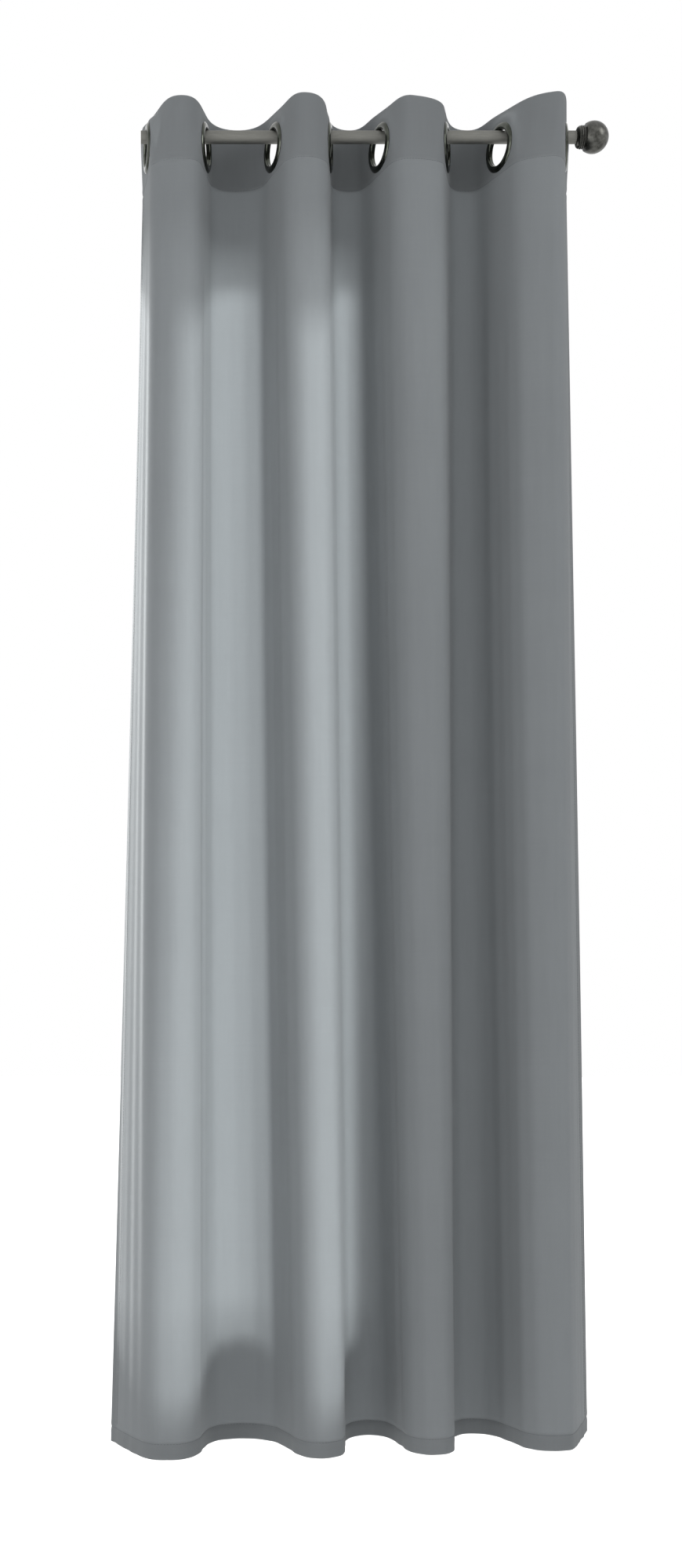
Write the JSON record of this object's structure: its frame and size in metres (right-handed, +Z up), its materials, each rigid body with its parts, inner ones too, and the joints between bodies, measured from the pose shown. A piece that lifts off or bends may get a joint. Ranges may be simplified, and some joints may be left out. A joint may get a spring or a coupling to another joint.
{
  "type": "curtain panel",
  "caption": "Grommet-top fabric curtain panel hanging in soft folds on a round metal rod with a ball finial; it gathers along the rod.",
  "frame": {"origin": "on the rod's axis, at the bare stretch beside the finial where a bracket holds the rod", "axes": "+X along the rod towards the finial, +Y away from the room towards the window, +Z up"},
  "size_m": [0.791, 0.1415, 2.134],
  "materials": {
    "cloth": "smooth matte fine weave, cool mid grey",
    "buckram": "stiff non-woven, off-white",
    "thread": "grey sewing thread",
    "grommet_metal": "polished dark nickel",
    "rod_metal": "satin pewter",
    "finial_metal": "antique pewter, slightly mottled",
    "screw": "plain zinc-plated steel",
    "insert": "moulded black plastic"
  },
  "bodies": {
    "rod": {"curtain_rod": "rod_metal", "rod_insert": "insert"},
    "curtain": {"curtain_panel": "cloth", "header_buckram": "buckram", "header_facing": "cloth", "header_thread": "thread", "bottom_hem": "cloth", "hem_thread": "thread", "side_hem_left": "cloth", "side_hem_right": "cloth", "side_thread_left": "thread", "side_thread_right": "thread", "grommet_8_front": "grommet_metal", "grommet_8_back": "grommet_metal"},
    "grommet_7": {"grommet_7_front": "grommet_metal", "grommet_7_back": "grommet_metal"},
    "grommet_6": {"grommet_6_front": "grommet_metal", "grommet_6_back": "grommet_metal"},
    "grommet_5": {"grommet_5_front": "grommet_metal", "grommet_5_back": "grommet_metal"},
    "grommet_4": {"grommet_4_front": "grommet_metal", "grommet_4_back": "grommet_metal"},
    "grommet_3": {"grommet_3_front": "grommet_metal", "grommet_3_back": "grommet_metal"},
    "grommet_2": {"grommet_2_front": "grommet_metal", "grommet_2_back": "grommet_metal"},
    "grommet_1": {"grommet_1_front": "grommet_metal", "grommet_1_back": "grommet_metal"},
    "finial": {"finial_collar": "finial_metal", "finial_ball": "finial_metal", "finial_screw": "screw"}
  },
  "joints": [
    {"name": "panel_swing", "type": "hinge", "parent": "rod", "child": "curtain", "pos_m": [0, 0, 0], "axis": [1, 0, 0], "range_deg": [-10, 10]},
    {"name": "gather", "type": "slide", "parent": "curtain", "child": "grommet_7", "axis": [1, 0, 0], "range_m": [0, 0.04576], "deforming": ["curtain_panel", "header_buckram", "header_facing", "header_thread", "bottom_hem", "hem_thread", "side_hem_left", "side_hem_right", "side_thread_left", "side_thread_right"]},
    {"name": "gather_6", "type": "slide", "parent": "grommet_7", "child": "grommet_6", "axis": [1, 0, 0], "range_m": [0, 0.0375]},
    {"name": "gather_5", "type": "slide", "parent": "grommet_6", "child": "grommet_5", "axis": [1, 0, 0], "range_m": [0, 0.04718]},
    {"name": "gather_4", "type": "slide", "parent": "grommet_5", "child": "grommet_4", "axis": [1, 0, 0], "range_m": [0, 0.0353]},
    {"name": "gather_3", "type": "slide", "parent": "grommet_4", "child": "grommet_3", "axis": [1, 0, 0], "range_m": [0, 0.0397]},
    {"name": "gather_2", "type": "slide", "parent": "grommet_3", "child": "grommet_2", "axis": [1, 0, 0], "range_m": [0, 0.04762]},
    {"name": "gather_1", "type": "slide", "parent": "grommet_2", "child": "grommet_1", "axis": [1, 0, 0], "range_m": [0, 0.04102]},
    {"name": "finial_turn", "type": "hinge", "parent": "rod", "child": "finial", "pos_m": [0.033, 0, 0], "axis": [1, 0, 0], "continuous": true}
  ],
  "couplings": [
    {"joint": "gather_6", "follows": "gather", "ratio": 0.81731},
    {"joint": "gather_5", "follows": "gather", "ratio": 1.0288},
    {"joint": "gather_4", "follows": "gather", "ratio": 0.76923},
    {"joint": "gather_3", "follows": "gather", "ratio": 0.86538},
    {"joint": "gather_2", "follows": "gather", "ratio": 1.0385},
    {"joint": "gather_1", "follows": "gather", "ratio": 0.89423}
  ]
}
